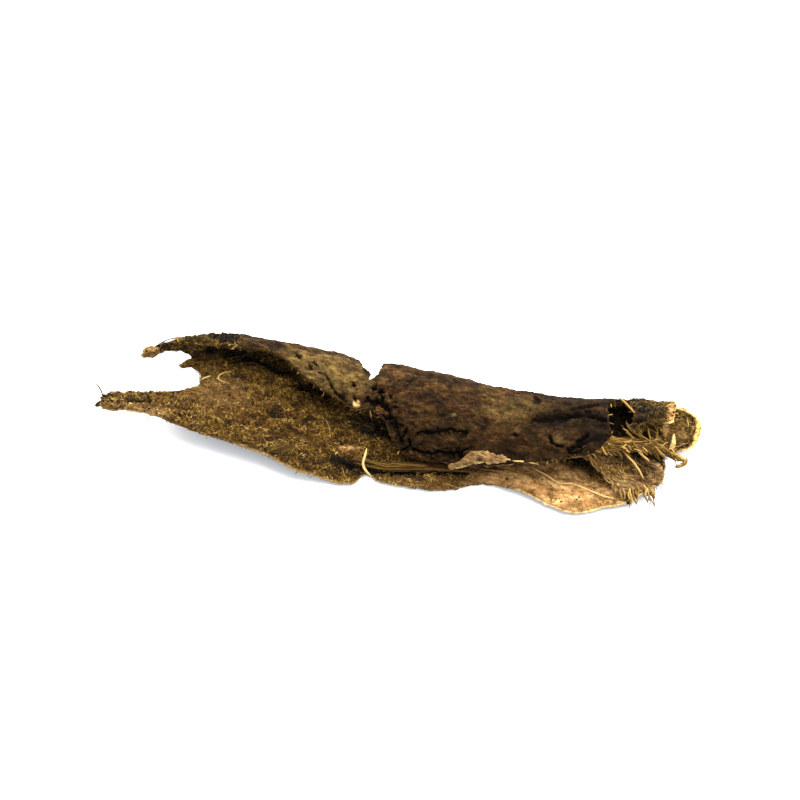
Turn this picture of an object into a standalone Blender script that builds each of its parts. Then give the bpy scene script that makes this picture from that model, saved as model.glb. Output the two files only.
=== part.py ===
"""A piece of dry bark, as it comes off a dead branch.

It is one thin sheet. Drying has curled its back edge up and over into a flat
scroll, so the left half is an open trough that shows the fibrous inner face,
and the right half is covered by the smoother outer bark.

The sheet is drawn flat first, as an outline in x (along the grain) and s
(around the curl). s is 0 at the bottom of the back fold, negative across the
trough towards the front edge, and positive up the fold and over the flap.
The curl law then takes each flat point to its place, and Solidify gives the
sheet its thickness. Lengths in the tables are millimetres.
"""
import math

import bpy
import numpy as np
from mathutils import Vector, noise
from mathutils.geometry import delaunay_2d_cdt

MM = 0.001

# Driving dimensions.
SHEET_THICKNESS = 1.6
TORN_EDGE_THICKNESS = 0.7
PEELED_THICKNESS = 1.0
EDGE_TAPER = 3.0
FOLD_TURN = math.radians(150.0)
GRAIN_STEP = 1.9
EDGE_STEP = 1.35
EDGE_RAG = 0.28
PEEL_STRETCH = 1.6
PEEL_STEEPNESS = 2.5
EDGE_ROUNDING = 0.7
WAVE_HEIGHT = 0.38
WAVE_LENGTH = 13.0
RIPPLE_HEIGHT = 0.13
RIPPLE_LENGTH = 4.5

# The net of flat points inside the outline, in staggered rows. Its corner and size
# are in mm, and the others are shares of GRAIN_STEP: how far apart the rows are,
# how far a point may stray, and how far the net stays from a torn edge.
NET_LOW = (-64, -28)
NET_SIZE = (130, 64)
ROW_SPACING = 0.866
NET_JITTER = 0.3
EDGE_CLEARANCE = 0.62

# How the curl changes along the grain: (x, value) stations.
BACK_Y = [(-60, 4.5), (-52, 5.8), (-44, 9.3), (-34, 12.1), (-24, 13.1), (-15, 12.9),
          (-9.5, 11.7), (-5, 12.1), (8, 11.2), (20, 9.9), (30, 9.6), (42, 11.2), (52, 11.6),
          (60, 10.2)]
FOLD_RADIUS = [(-60, 3.8), (-40, 4.6), (-28, 4.2), (-14, 3.5), (-9, 3.0), (-5, 3.5),
               (12, 4.1), (30, 4.2), (45, 4.4), (60, 4.2)]
TROUGH_BEND = [(-60, 0.024), (-25, 0.016), (-8, 0.003), (16, 0.003), (25, 0.010),
               (38, 0.005), (60, 0.018)]
FLAP_BEND = [(-60, 0.090), (-30, 0.080), (-12, 0.066), (2, 0.072), (12, 0.074),
             (30, 0.070), (60, 0.075)]
LIFT = [(-60, 6.5), (-45, 3.6), (-30, 1.3), (-14, -0.2), (10, -0.3), (45, -0.1), (60, 1.7)]

# The flat outline, stretch by stretch, counter-clockwise. Each stretch is a
# smooth curve through its points, and the outline has a corner where two meet.
OUTLINE = {
    "lower_prong_tip": [(-58, -5.3), (-59.5, -6.6), (-59.4, -8.6), (-57.5, -9.6), (-53.5, -9.2)],
    "front_edge_left": [(-53.5, -9.2), (-49.5, -9.8), (-44, -13.6), (-36, -17.6), (-27.5, -20.5),
                        (-19, -23.2), (-13, -23.1), (-7, -22.3)],
    "front_notch": [(-7, -22.3), (-6.2, -20.5), (-4.3, -19.7), (-2.7, -20.8)],
    "front_edge_middle": [(-2.7, -20.8), (2, -20.5), (10, -19.2), (16.8, -15.8), (21.8, -15.2)],
    "front_lobe": [(21.8, -15.2), (27, -16.2), (36.5, -19.2), (42, -18), (47, -16.2),
                   (51.5, -12.2), (53.8, -8)],
    "tongue_root": [(53.8, -8), (53, -5.5), (56.2, -3.5)],
    "tongue": [(56.2, -3.5), (58.8, -1.8), (59.8, 1.2), (59.3, 4.2), (57.3, 6.2), (53.2, 7.4)],
    "back_rim_end": [(53.2, 7.4), (53.6, 11), (53, 15.8)],
    "hollow_right": [(53, 15.8), (48, 16.2), (45.5, 18.5), (45.7, 14.2), (44.2, 8.8)],
    "hollow_left": [(44.2, 8.8), (40.6, 11), (40.6, 16), (41.8, 20)],
    "flap_edge_right": [(41.8, 20), (38.5, 23.6), (33, 24.3), (27, 25.5), (17.5, 28),
                        (9.2, 29.2), (4.5, 29.6), (1.6, 28.8)],
    "flap_edge_left": [(1.6, 28.8), (-0.4, 26.9), (-1.6, 24.2), (-4.8, 20.6), (-9.8, 18.6),
                       (-14.5, 19), (-20.2, 17.2), (-24.2, 14.9), (-28, 13.3), (-35.8, 14.2)],
    "curled_rim": [(-35.8, 14.2), (-40, 12.8), (-44.8, 10.0), (-49.5, 7.8), (-52.2, 6.6),
                   (-53.8, 3.9)],
    "upper_prong": [(-53.8, 3.9), (-51.8, 4.0), (-49.5, 5.6), (-46.0, 4.9), (-44.0, 2.4)],
    "gap_tooth": [(-44.0, 2.4), (-46.4, 1.3), (-46.3, 0.5), (-43.6, 0.3)],
    "gap_end": [(-43.6, 0.3), (-41.8, -1.2), (-41.5, -4.6)],
    "lower_prong": [(-41.5, -4.6), (-45.5, -5.3), (-50.2, -4.5), (-54.2, -4.7), (-58, -5.5)],
}

# The split where the fold has cracked across: its outline, clockwise.
SPLIT = [(-7.8, 0.2), (-9.2, 3.2), (-10.2, 6.6), (-9.0, 8.6), (-7.4, 10.4), (-7.9, 12.6),
         (-6.5, 12.6), (-5.4, 9.4), (-5.6, 3.2)]

# The lobe at the front, where the inner layer has peeled away: (x, s, radius).
PEELED = (36.0, -15.5, 13.0)


def along(stations, x):
    """Value of a station table at x, on a smooth curve with no overshoot."""
    xs = np.array([station[0] for station in stations], float)
    values = np.array([station[1] for station in stations], float)
    rise = np.diff(values) / np.diff(xs)
    slope = np.concatenate(([rise[0]], np.zeros(len(xs) - 2), [rise[-1]]))
    same_way = rise[:-1] * rise[1:] > 0
    safe_sum = np.where(same_way, rise[:-1] + rise[1:], 1.0)
    slope[1:-1] = np.where(same_way, 2 * rise[:-1] * rise[1:] / safe_sum, 0.0)
    x = min(max(x, xs[0]), xs[-1])
    i = min(max(int(np.searchsorted(xs, x)) - 1, 0), len(xs) - 2)
    gap = xs[i + 1] - xs[i]
    t = (x - xs[i]) / gap
    return float(values[i] * (2 * t ** 3 - 3 * t ** 2 + 1)
                 + gap * slope[i] * (t ** 3 - 2 * t ** 2 + t)
                 + values[i + 1] * (3 * t ** 2 - 2 * t ** 3)
                 + gap * slope[i + 1] * (t ** 3 - t ** 2))


def curl(x, s):
    """Outer face of the curled sheet at flat point (x, s), and its normal."""
    radius = along(FOLD_RADIUS, x)
    trough_bend = along(TROUGH_BEND, x)
    flap_bend = along(FLAP_BEND, x)
    trough = min(s, 0.0)
    fold = min(max(s, 0.0), radius * FOLD_TURN)
    flap = max(s - radius * FOLD_TURN, 0.0)

    angle = trough * trough_bend
    y = math.sin(angle) / trough_bend
    z = (1 - math.cos(angle)) / trough_bend
    y += radius * math.sin(fold / radius)
    z += radius * (1 - math.cos(fold / radius))
    angle += fold / radius
    flap_angle = FOLD_TURN + flap * flap_bend
    if flap > 0:
        y += (math.sin(flap_angle) - math.sin(FOLD_TURN)) / flap_bend
        z += (math.cos(FOLD_TURN) - math.cos(flap_angle)) / flap_bend
        angle = flap_angle
    place = Vector((x, y + along(BACK_Y, x) - radius, z + along(LIFT, x)))
    outward = Vector((0.0, math.sin(angle), -math.cos(angle)))
    return place, outward


def smooth_path(points, step):
    """Points every step or so on a Catmull-Rom curve, without its last point."""
    knots = [Vector(p) for p in points]
    knots = [2 * knots[0] - knots[1]] + knots + [2 * knots[-1] - knots[-2]]
    path = []
    for i in range(1, len(knots) - 2):
        before, here, there, after = knots[i - 1:i + 3]
        pieces = max(1, round((there - here).length / step))
        for k in range(pieces):
            t = k / pieces
            path.append(0.5 * (2 * here + (there - before) * t
                               + (2 * before - 5 * here + 4 * there - after) * t * t
                               + (3 * here - before - 3 * there + after) * t ** 3))
    return path


def ragged(path):
    """The closed path with its points pushed in and out a little, as torn edges are."""
    torn = []
    for i, point in enumerate(path):
        tangent = (path[(i + 1) % len(path)] - path[i - 1]).normalized()
        side = Vector((-tangent.y, tangent.x))
        push = noise.noise(Vector((point.x * 0.55, point.y * 0.55, 4.0)))
        push += 0.6 * noise.noise(Vector((point.x * 1.7, point.y * 1.7, 9.0)))
        torn.append(point + side * EDGE_RAG * push)
    return torn


def is_inside(point, loop):
    """Whether a flat point lies inside a closed loop (crossings to its right)."""
    hits = 0
    for i, a in enumerate(loop):
        b = loop[i - 1]
        if (a.y > point.y) != (b.y > point.y):
            crossing = a.x + (point.y - a.y) * (b.x - a.x) / (b.y - a.y)
            hits += crossing > point.x
    return hits % 2 == 1


def flat_sheet():
    """Flat points, triangles and each point's distance from a torn edge."""
    rim = []
    for points in OUTLINE.values():
        rim += smooth_path(points, EDGE_STEP)
    rim = ragged(rim)
    split = ragged(smooth_path(SPLIT + [SPLIT[0]], EDGE_STEP))
    edge_points = np.array([tuple(p) for p in rim + split])

    inner = []
    rows = int(NET_SIZE[1] / (GRAIN_STEP * ROW_SPACING))
    columns = int(NET_SIZE[0] / GRAIN_STEP)
    for row in range(rows):
        for column in range(columns):
            x = NET_LOW[0] + (column + 0.5 * (row % 2)) * GRAIN_STEP
            s = NET_LOW[1] + row * GRAIN_STEP * ROW_SPACING
            jitter = [noise.noise(Vector((x * 3.1, s * 3.1, shift))) * NET_JITTER * GRAIN_STEP
                      for shift in (2.3, 35.7)]
            point = Vector((x + jitter[0], s + jitter[1]))
            distance = np.hypot(edge_points[:, 0] - point.x, edge_points[:, 1] - point.y).min()
            if distance < EDGE_CLEARANCE * GRAIN_STEP:
                continue
            if is_inside(point, rim) and not is_inside(point, split):
                inner.append(point)

    points = rim + split + inner
    edges = [(i, (i + 1) % len(rim)) for i in range(len(rim))]
    edges += [(len(rim) + i, len(rim) + (i + 1) % len(split)) for i in range(len(split))]
    points, _, triangles, _, _, _ = delaunay_2d_cdt(points, edges, [], 1, 1e-5)
    kept = []
    for triangle in triangles:
        centre = sum((points[i] for i in triangle), Vector((0, 0))) / 3
        if not is_inside(centre, split):
            kept.append(list(triangle))
    distances = []
    for point in points:
        gaps = np.hypot(edge_points[:, 0] - point[0], edge_points[:, 1] - point[1])
        distances.append(float(gaps.min()))
    return points, kept, distances


def thickness_at(x, s, edge_distance):
    """Sheet thickness: full inside, thin at torn edges and on the peeled lobe."""
    full = SHEET_THICKNESS
    centre_x, centre_s, radius = PEELED
    peel = max(0.0, 1.0 - math.hypot(x - centre_x, PEEL_STRETCH * (s - centre_s)) / radius)
    full -= (SHEET_THICKNESS - PEELED_THICKNESS) * min(1.0, PEEL_STEEPNESS * peel)
    share = min(1.0, edge_distance / EDGE_TAPER)
    return TORN_EDGE_THICKNESS + (full - TORN_EDGE_THICKNESS) * share ** EDGE_ROUNDING


def swell(x, s):
    """Height of the sheet's uneven drying: long waves and short ripples."""
    wave = noise.noise(Vector((x / WAVE_LENGTH, s / (0.7 * WAVE_LENGTH), 0.5)))
    ripple = noise.noise(Vector((x / RIPPLE_LENGTH, s / (0.6 * RIPPLE_LENGTH), 7.5)))
    return WAVE_HEIGHT * wave + RIPPLE_HEIGHT * ripple


def bark_material():
    """Dry brown bark."""
    material = bpy.data.materials.new("dry_bark")
    material.use_nodes = True
    shader = material.node_tree.nodes["Principled BSDF"]
    shader.inputs["Base Color"].default_value = (0.115, 0.068, 0.027, 1.0)
    shader.inputs["Roughness"].default_value = 0.88
    shader.inputs["Metallic"].default_value = 0.0
    material.diffuse_color = (0.115, 0.068, 0.027, 1.0)
    return material


def make_bark():
    """The curled sheet as one closed body, resting on Z = 0."""
    flat, triangles, distances = flat_sheet()
    places = []
    for x, s in flat:
        place, outward = curl(x, s)
        place += outward * swell(x, s)
        # What would reach lower than the resting surface is pressed flat on it.
        place.z = max(place.z, 0.0)
        places.append(place * MM)

    mesh = bpy.data.meshes.new("bark")
    # Seen from the inner face the triangles run counter-clockwise, so they are
    # turned round: the sheet's normals point out, and its thickness grows inward.
    mesh.from_pydata(places, [], [triangle[::-1] for triangle in triangles])
    bark = bpy.data.objects.new("bark", mesh)
    bpy.context.scene.collection.objects.link(bark)

    group = bark.vertex_groups.new(name="thickness")
    for i, (x, s) in enumerate(flat):
        group.add([i], thickness_at(x, s, distances[i]) / SHEET_THICKNESS, "REPLACE")
    solidify = bark.modifiers.new("sheet_thickness", "SOLIDIFY")
    solidify.thickness = SHEET_THICKNESS * MM
    solidify.offset = -1.0
    solidify.vertex_group = group.name
    mesh.materials.append(bark_material())
    mesh.shade_smooth()
    return bark


def centre_on_base(thing):
    """Move the mesh so that the origin is below the middle of its box, at its base."""
    depsgraph = bpy.context.evaluated_depsgraph_get()
    solid = thing.evaluated_get(depsgraph).to_mesh()
    corners = np.array([tuple(v.co) for v in solid.vertices])
    low = corners.min(axis=0)
    high = corners.max(axis=0)
    shift = Vector(((low[0] + high[0]) / 2, (low[1] + high[1]) / 2, low[2]))
    for vertex in thing.data.vertices:
        vertex.co -= shift


for old in list(bpy.data.objects):
    bpy.data.objects.remove(old, do_unlink=True)
centre_on_base(make_bark())
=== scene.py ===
import math
import random

import bpy
import numpy as np
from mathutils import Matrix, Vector, noise
from mathutils.bvhtree import BVHTree


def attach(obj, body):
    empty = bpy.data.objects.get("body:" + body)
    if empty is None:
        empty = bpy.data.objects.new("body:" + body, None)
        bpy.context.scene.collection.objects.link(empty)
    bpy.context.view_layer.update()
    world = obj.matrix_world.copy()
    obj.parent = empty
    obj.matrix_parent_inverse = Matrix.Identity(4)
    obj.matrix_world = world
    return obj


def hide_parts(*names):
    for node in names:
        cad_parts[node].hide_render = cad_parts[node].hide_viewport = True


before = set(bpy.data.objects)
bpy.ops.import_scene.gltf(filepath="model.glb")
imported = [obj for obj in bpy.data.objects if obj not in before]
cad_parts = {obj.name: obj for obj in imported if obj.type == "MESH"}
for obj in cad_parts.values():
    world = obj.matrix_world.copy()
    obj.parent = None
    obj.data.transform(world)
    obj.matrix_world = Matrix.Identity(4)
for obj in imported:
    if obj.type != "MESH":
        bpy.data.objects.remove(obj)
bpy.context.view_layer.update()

# ----------------------------------------
# The sheet: one strip of dead bark, fibrous bast inside and a thin weathered cork skin outside.
# It dried off the branch, so it has curled into a scroll, and its ends are torn along and
# across the grain. Places are in mm in the frame's own axes, with the grain along X.
MM = 0.001
SKIN, BAST, TORN = 0, 1, 2
LAYER_TURN = math.radians(38)
EDGE_CREASE = 0.45
SMOOTHING_LEVELS = 2

bpy.ops.object.select_all(action="DESELECT")
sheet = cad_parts["bark"].copy()
sheet.data = sheet.data.copy()
sheet.name = "bark_sheet"
sheet.parent = None
bpy.context.scene.collection.objects.link(sheet)
bpy.context.view_layer.objects.active = sheet
sheet.select_set(True)
bpy.ops.object.mode_set(mode="EDIT")
bpy.ops.mesh.select_mode(type="FACE")
bpy.ops.mesh.select_all(action="SELECT")
bpy.ops.mesh.remove_doubles(threshold=0.01 * MM)
bpy.ops.mesh.select_all(action="DESELECT")
bpy.ops.object.mode_set(mode="OBJECT")
sheet.data.materials.clear()
for name in ("weathered_cork_skin", "dried_bast", "torn_bast_edge"):
    sheet.data.materials.append(bpy.data.materials.new(name))


def flood_from(piece, start, layer):
    """Gives a layer to a face and to all that run on from it with no sharp edge."""
    for face in piece.data.polygons:
        face.select = face.index == start
    bpy.ops.object.mode_set(mode="EDIT")
    bpy.ops.mesh.faces_select_linked_flat(sharpness=LAYER_TURN)
    bpy.ops.object.mode_set(mode="OBJECT")
    for face in piece.data.polygons:
        if face.select:
            face.material_index = layer


# The lowest face is cork skin, and the widest other face that looks up is bast.
for face in sheet.data.polygons:
    face.material_index = TORN
underside = min(sheet.data.polygons, key=lambda f: f.center.z - 0.01 * f.area / MM)
flood_from(sheet, underside.index, SKIN)
trough_floor = max((f for f in sheet.data.polygons
                    if f.material_index == TORN and f.normal.z > 0.95), key=lambda f: f.area)
flood_from(sheet, trough_floor.index, BAST)

# The torn edges stay fairly crisp when the sheet is smoothed.
crease = sheet.data.attributes.new("crease_edge", "FLOAT", "EDGE")
layers_at_edge = [set() for _ in sheet.data.edges]
for face in sheet.data.polygons:
    for corner in face.loop_indices:
        layers_at_edge[sheet.data.loops[corner].edge_index].add(face.material_index)
for edge, layers in zip(sheet.data.edges, layers_at_edge):
    if len(layers) > 1:
        crease.data[edge.index].value = EDGE_CREASE
bpy.ops.object.modifier_add(type="SUBSURF")
smoothing = sheet.modifiers[-1]
smoothing.levels = SMOOTHING_LEVELS
smoothing.render_levels = SMOOTHING_LEVELS
bpy.ops.object.modifier_apply(modifier=smoothing.name)


def ripple(place, along, across, seed):
    """Noise from -1 to 1, with cells of these lengths in mm along and across the grain."""
    x, y, z = place
    return noise.noise(Vector((x / along + seed, y / across - seed, z / across + seed)))


def read_surface(piece):
    """Places in mm, normals, and each vertex's share of skin, bast and torn edge."""
    count = len(piece.data.vertices)
    places = np.zeros(count * 3)
    piece.data.vertices.foreach_get("co", places)
    normals = np.zeros(count * 3)
    piece.data.vertices.foreach_get("normal", normals)
    share = np.zeros((count, 3))
    for face in piece.data.polygons:
        for v in face.vertices:
            share[v, face.material_index] += 1
    share /= share.sum(axis=1, keepdims=True)
    return places.reshape(-1, 3) / MM, normals.reshape(-1, 3), share


def line_gap(places, line):
    """Distance in plan from each place to a line of points, and how far along it that is."""
    nearest = np.full(len(places), 1e9)
    share_along = np.zeros(len(places))
    steps = len(line) - 1
    for k in range(steps):
        start = np.array(line[k])
        run = np.array(line[k + 1]) - start
        t = np.clip(((places[:, :2] - start) @ run) / (run @ run), 0, 1)
        gap = np.hypot(*(places[:, :2] - start - t[:, None] * run).T)
        share_along = np.where(gap < nearest, (k + t) / steps, share_along)
        nearest = np.minimum(nearest, gap)
    return nearest, share_along


# Cracks, pits and furrows by layer: width and depth in mm, and the (x, y) points of their line.
MARKS = {
    SKIN: {
        "upper_pit_left": (1.2, 0.9, [(-6.9, 5.1), (-6.1, 4.8)]),
        "upper_pit_right": (0.9, 0.9, [(-5, 4.3), (-4.2, 4.1)]),
        "split_hole": (2.2, 1.3, [(-5.6, 1.9), (-4.2, 0.9), (-3.3, 0.4)]),
        "small_red_pit": (0.8, 0.4, [(-2.6, -0.5), (-1.6, -1)]),
        "flap_edge_crack": (1.5, 1, [(-3, -1.4), (-1.9, -1.7), (-0.9, -2.2)]),
        "forked_crack": (0.5, 0.8, [(1.6, -2.5), (1.2, -3.8), (0.6, -4.6), (-0.2, -3.2)]),
        "lower_fork": (0.5, 0.8, [(2.1, -4.2), (2.7, -5.4), (1.2, -6.2)]),
        "upper_crack": (0.5, 0.7, [(3.8, -3.2), (4.5, -2.8), (6.3, -2.8), (8.5, -2.2), (10.4, -1.6),
            (11.7, -2.1)]),
        "upper_crack_pit": (0.9, 0.7, [(12.9, -2.1), (13.5, -2)]),
        "lower_crack": (0.55, 0.9, [(3.2, -5.8), (5.9, -6.2), (7.5, -6.3), (8.8, -5.9), (10.3, -6),
            (12.1, -5.8), (13, -5.5), (14.1, -4.8)]),
        "lower_crack_pit": (0.9, 0.9, [(12.4, -6.3), (13.1, -6.1)]),
        "flap_pit": (0.65, 0.9, [(-22.5, 9.3), (-22, 8.7)]),
        "flap_pit_middle": (0.6, 0.5, [(-19.2, 8.6), (-18.2, 7.7)]),
        "flap_pit_low": (0.45, 0.5, [(-19.8, 7.5), (-19.3, 6.8)]),
        "flap_crack": (0.32, 0.5, [(-17.8, 6.3), (-16.2, 6), (-15.4, 4.8), (-14.1, 3.1), (-12, 1.7),
            (-10.5, 0.8)]),
        "flap_spot_upper": (0.5, 0.6, [(-10.5, 5.6), (-10.3, 4.9)]),
        "flap_spot_lower": (0.5, 0.6, [(-10, 2.7), (-9.6, 2)]),
        "furrow": (1, 0.9, [(26, 2.6), (29.3, 2.9), (30.7, 3.9), (32, 3.8), (34.5, 4.9), (36.5, 5),
            (39.8, 4.6)]),
        "furrow_upper": (0.6, 0.6, [(34.2, 6.6), (36.4, 7.4), (38, 8.2)]),
        "blotch_pit": (1.2, 0.4, [(26, 7.6), (27, 7.2)]),
        "knob_groove": (0.5, 0.6, [(29.6, -0.4), (30.2, -1.7), (31.4, -2.3), (32.4, -2)]),
        "step_crack": (0.8, 0.9, [(36.6, 0.3), (35.6, -0.8), (34.8, -2), (33.8, -3.2)]),
        "step_crack_low": (0.9, 0.8, [(36.6, -1.2), (35.9, -2.4), (34.4, -3.6)]),
        "mottle_pit": (0.6, 0.4, [(22.6, -1), (23.2, -1.3)]),
    },
    BAST: {
        "gap_under_flap": (0.9, 0.6, [(-38, 8.4), (-35, 9.4), (-31, 9.2), (-27.5, 8.6)]),
        "gap_shadow": (0.7, 0.6, [(-20.9, 6), (-18.8, 6.2), (-16.9, 5.1), (-15.2, 3.1)]),
        "hook_crack": (0.4, 0.5, [(-20.9, 5.6), (-20.4, 4.8), (-19.2, 5.2)]),
        "roll_mouth_crack": (0.8, 0.7, [(-8.2, 1.2), (-6.3, 0.2), (-4.8, -0.7), (-3.2, -1.8),
            (-1.7, -2.7)]),
        "short_crack": (0.35, 0.6, [(-31.8, -4.8), (-30.4, -6)]),
        "long_crack": (0.3, 0.45, [(-27.8, -3.7), (-24.1, -2.5), (-20.3, -1.4)]),
        "knot_crack_left": (0.35, 0.6, [(-25, -7.7), (-25.5, -8.4), (-25.5, -9.4)]),
        "knot_crack_right": (0.3, 0.5, [(-21.9, -7), (-21.3, -7.8), (-20.4, -9)]),
        "edge_hole": (0.45, 0.6, [(-26, -10.3), (-25.2, -10.8)]),
        "edge_crack": (0.3, 0.5, [(-24, -11.2), (-21.4, -11), (-19.6, -10.2)]),
        "prong_crack": (0.35, 0.4, [(-53.8, -5.2), (-51, -5), (-49.6, -4.5)]),
        "ply_gap": (0.6, 0.8, [(-10.5, -9.6), (-7.5, -10), (-4.3, -10), (-0.7, -10), (3.3, -9.5),
            (7.2, -8.8), (11.2, -8.1), (15, -7.4)]),
        "tongue_fold": (0.35, 0.35, [(56.9, 10.6), (58.3, 8.6), (57.9, 6.2), (56.8, 4.4)]),
    },
}
MARK_MARGIN = 0.42

places, normals, share = read_surface(sheet)
layer_tops = {SKIN: (share[:, SKIN] > 0.99) & (normals[:, 2] > 0.05),
              BAST: (share[:, BAST] > 0.99) & (normals[:, 2] > 0.2)}

# Where a mark will be cut the mesh is made finer.
near_mark = np.zeros(len(places), bool)
for layer, marks in MARKS.items():
    for width, depth, line in marks.values():
        near_mark |= layer_tops[layer] & (line_gap(places, line)[0] < width + MARK_MARGIN)
for face in sheet.data.polygons:
    face.select = all(near_mark[v] for v in face.vertices)
bpy.ops.object.mode_set(mode="EDIT")
bpy.ops.mesh.subdivide(number_cuts=1, smoothness=0.0)
bpy.ops.mesh.select_all(action="DESELECT")
bpy.ops.object.mode_set(mode="OBJECT")

# The cork skin has flaked off the rim at the thin left end and off the rim behind the hollow.
for face in sheet.data.polygons:
    centre = face.center / MM
    wander = 2.2 * ripple(centre, 2.5, 2.5, 21.0)
    bare_left = centre.x < -33.5 + wander and centre.y > 4.5
    bare_right = centre.x > 45.0 + wander and centre.z > 6.0 and centre.y > 2.0
    frayed_rim = face.material_index == TORN and centre.x < -37.0 + wander and centre.y > 3.0
    if face.material_index == SKIN and (bare_left or bare_right) or frayed_rim:
        face.material_index = BAST

places, normals, share = read_surface(sheet)
layer_tops = {SKIN: (share[:, SKIN] > 0.5) & (normals[:, 2] > 0.05),
              BAST: (share[:, BAST] > 0.99) & (normals[:, 2] > 0.2)}
count = len(places)

# How closed in each place is, from 0 in the open to 1 deep in the roll, which sets the painted
# shade there: the share of rays, three steep and six flatter ones, that meet the bark again.
SHELTER_RAYS = [
    Vector((math.cos(a) * math.cos(e), math.sin(a) * math.cos(e), math.sin(e)))
    for e, number in ((math.radians(75), 3), (math.radians(42), 6))
    for a in [2 * math.pi * k / number for k in range(number)]]
SHELTER_REACH = 14.0
faces_of_sheet = [list(f.vertices) for f in sheet.data.polygons]
whole_tree = BVHTree.FromPolygons([Vector(p) for p in places], faces_of_sheet)
shelter = np.zeros(count)
for i in range(count):
    start = Vector(places[i] + normals[i] * 0.25)
    blocked = sum(whole_tree.ray_cast(start, ray, SHELTER_REACH)[0] is not None for ray in SHELTER_RAYS)
    shelter[i] = blocked / len(SHELTER_RAYS)


def skin_split(place):
    """Fine splits between the plates of the cork skin: 1 in a split, 0 on a plate."""
    warped = Vector((place[0] / 2.7 + 0.6 * ripple(place, 2.2, 1.5, 31.0),
                     place[1] / 1.5 + 0.6 * ripple(place, 2.2, 1.5, 35.0), place[2] / 1.5))
    nearest = noise.voronoi(warped)[0]
    open_here = min(1.0, max(0.0, 0.45 + 1.6 * ripple(place, 4.0, 2.6, 33.0)))
    return open_here * max(0.0, 1.0 - (nearest[1] - nearest[0]) / 0.22)


def skin_height(place):
    """Relief of the cork skin in mm: swollen plates, splits between them, and grit."""
    swelling = 0.22 * ripple(place, 4.5, 2.4, 3.0) + 0.24 * ripple(place, 1.5, 1.0, 8.0)
    return swelling + 0.15 * ripple(place, 0.7, 0.55, 5.0) - 0.16 * skin_split(place)


def bast_height(place):
    """Relief of the bast in mm: long fibre bundles, with shreds between them."""
    bundles = 0.20 * ripple(place, 6.0, 0.9, 1.0) + 0.22 * ripple(place, 1.5, 0.7, 6.0)
    clumps = 0.22 * ripple(place, 0.8, 0.6, 12.0)
    return bundles + clumps + 0.3 * max(0.0, ripple(place, 6.0, 2.6, 11.0) - 0.1)


def torn_height(place):
    """Relief of a torn edge in mm: broken fibre ends."""
    return 0.3 * ripple(place, 0.8, 0.5, 2.0) + 0.18 * ripple(place, 0.4, 0.3, 7.0)


# Lumps in the bast: x, y, radius along and across the grain, and height, all in mm.
LUMPS = {
    "shell_shaped_knot": (-22.9, -9.4, 2.3, 1.6, 0.7),
    "broken_end_left_of_notch": (-9.2, -11.6, 2.6, 0.9, 0.5),
    "lobe_swelling": (34, -8.5, 7, 2.5, 0.5),
}

# The rims that have lost their skin are the roughest.
on_rim = (places[:, 2] > 6.0) & ((places[:, 0] < -36.0) | (places[:, 0] > 44.0))
rim_roughness = np.where(on_rim, 1.9, 1.0)
lift = np.zeros(count)
for i in range(count):
    skin, bast, torn = share[i]
    if skin > 0:
        lift[i] += skin * (0.12 + skin_height(places[i]))
    if bast > 0:
        lift[i] += bast * bast_height(places[i]) * rim_roughness[i]
    if torn > 0:
        lift[i] += torn * torn_height(places[i])
for x, y, along, across, height in LUMPS.values():
    away = np.hypot((places[:, 0] - x) / along, (places[:, 1] - y) / across)
    lift += height * np.clip(1 - away ** 2, 0, 1) ** 0.7 * layer_tops[BAST]

wobble = np.array([ripple(p, 1.1, 0.9, 4.0) + 0.6 * ripple(p, 0.45, 0.4, 9.0) for p in places])
slow_wobble = np.array([ripple(p, 3.6, 2.0, 14.0) + 0.6 * ripple(p, 1.4, 0.8, 19.0) for p in places])
soil = np.zeros(count)
# Each mark is cut into the surface and painted near black inside, as painted shade in the groove.
for layer, marks in MARKS.items():
    for width, depth, line in marks.values():
        gap, along = line_gap(places, line)
        # A mark is widest in its middle and runs out to a point at each end.
        reach = 0.8 * width * (0.5 + 0.5 * np.sqrt(np.sin(math.pi * np.clip(along, 0.02, 0.98))))
        gap = gap / reach * (1.0 + 1.3 * np.clip(wobble, -0.55, 1.2))
        inside = np.clip(1.0 - gap ** 2, 0, 1) * layer_tops[layer]
        lift -= depth * inside
        soil = np.maximum(soil, np.clip((1.5 + 0.9 * wobble) * inside, 0, 1))

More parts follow.
